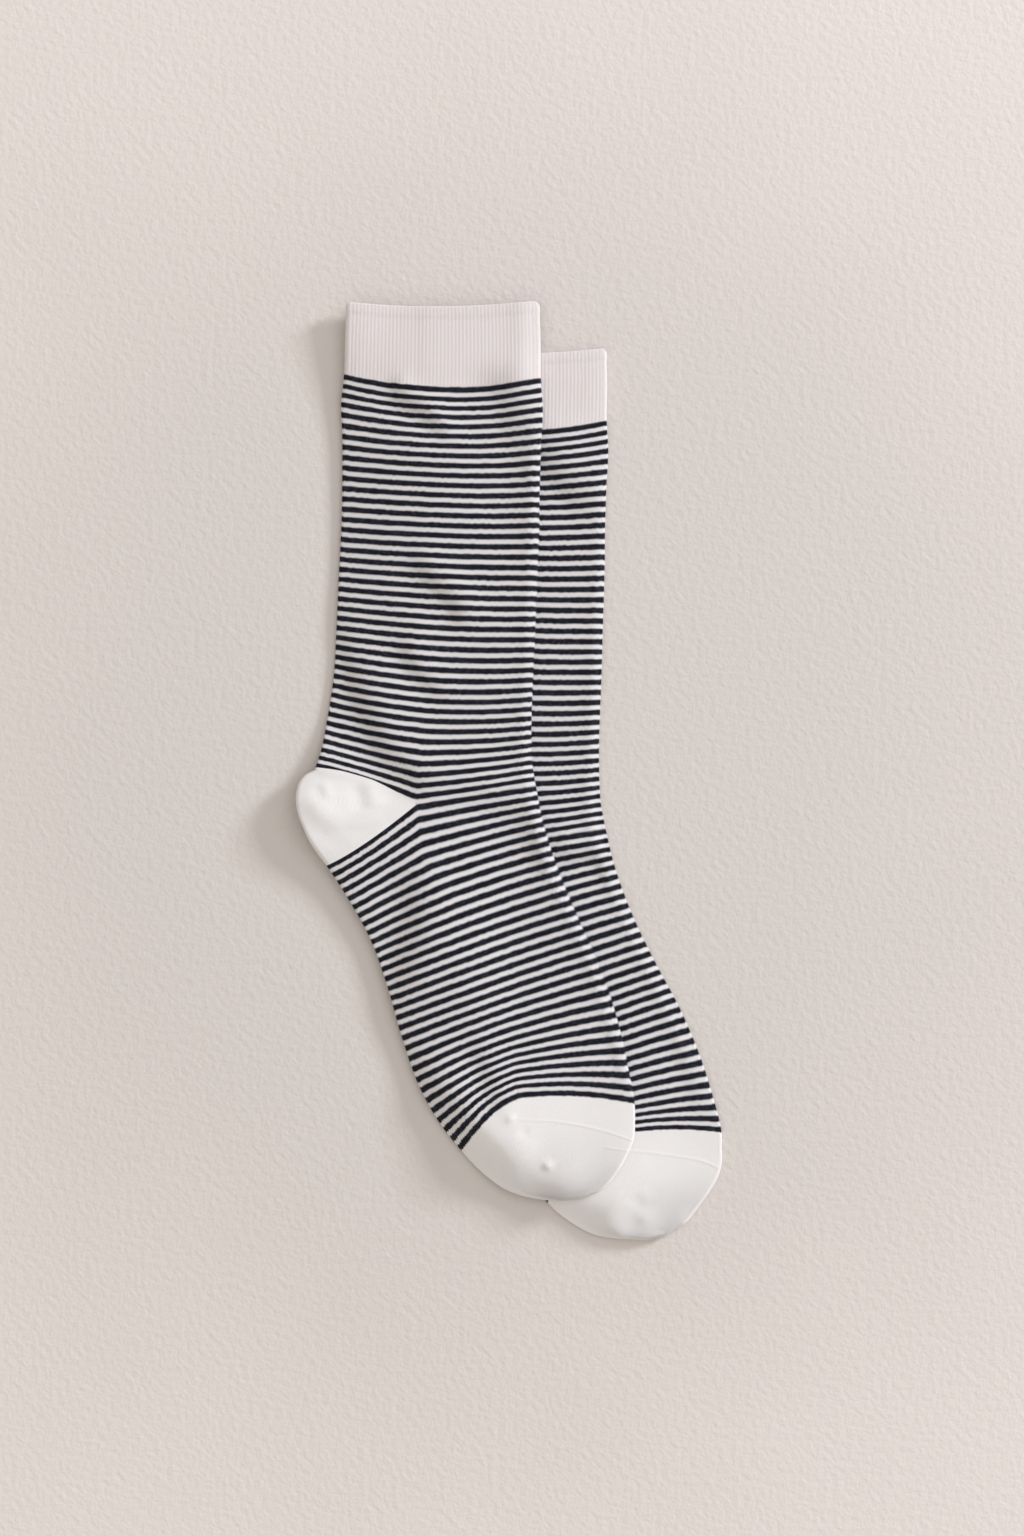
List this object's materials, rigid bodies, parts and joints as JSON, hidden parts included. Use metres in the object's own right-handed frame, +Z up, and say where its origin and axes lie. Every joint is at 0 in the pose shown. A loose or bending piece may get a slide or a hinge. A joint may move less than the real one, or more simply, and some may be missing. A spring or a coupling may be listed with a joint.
{
  "type": "pair of striped crew socks",
  "caption": "Pair of fine striped crew socks with ribbed cuffs and plain heels and toes, laid flat, the one partly over the other.",
  "frame": {"origin": "the surface that the socks lie on, under the middle of the rectangle that they cover", "axes": "+Y towards the cuffs, +X from the heels towards the toes' side, +Z up away from the surface"},
  "size_m": [0.1998, 0.4408, 0.0124],
  "materials": {
    "white_rib": "fine one by one ribbed cotton knit, off white, matt",
    "striped_jersey": "fine plain cotton knit in even navy and off-white stripes, matt, flecked where the elastic yarn grins through",
    "white_heel": "fine plain cotton knit, off white, matt and a little fuller",
    "white_toe": "fine plain cotton knit, off white, matt, with a linked seam across the toes"
  },
  "bodies": {
    "root": {"lower_cuff": "white_rib", "lower_leg_and_foot": "striped_jersey", "lower_heel": "white_heel", "lower_toe": "white_toe", "upper_cuff": "white_rib", "upper_leg_and_foot": "striped_jersey", "upper_heel": "white_heel", "upper_toe": "white_toe"}
  },
  "joints": []
}
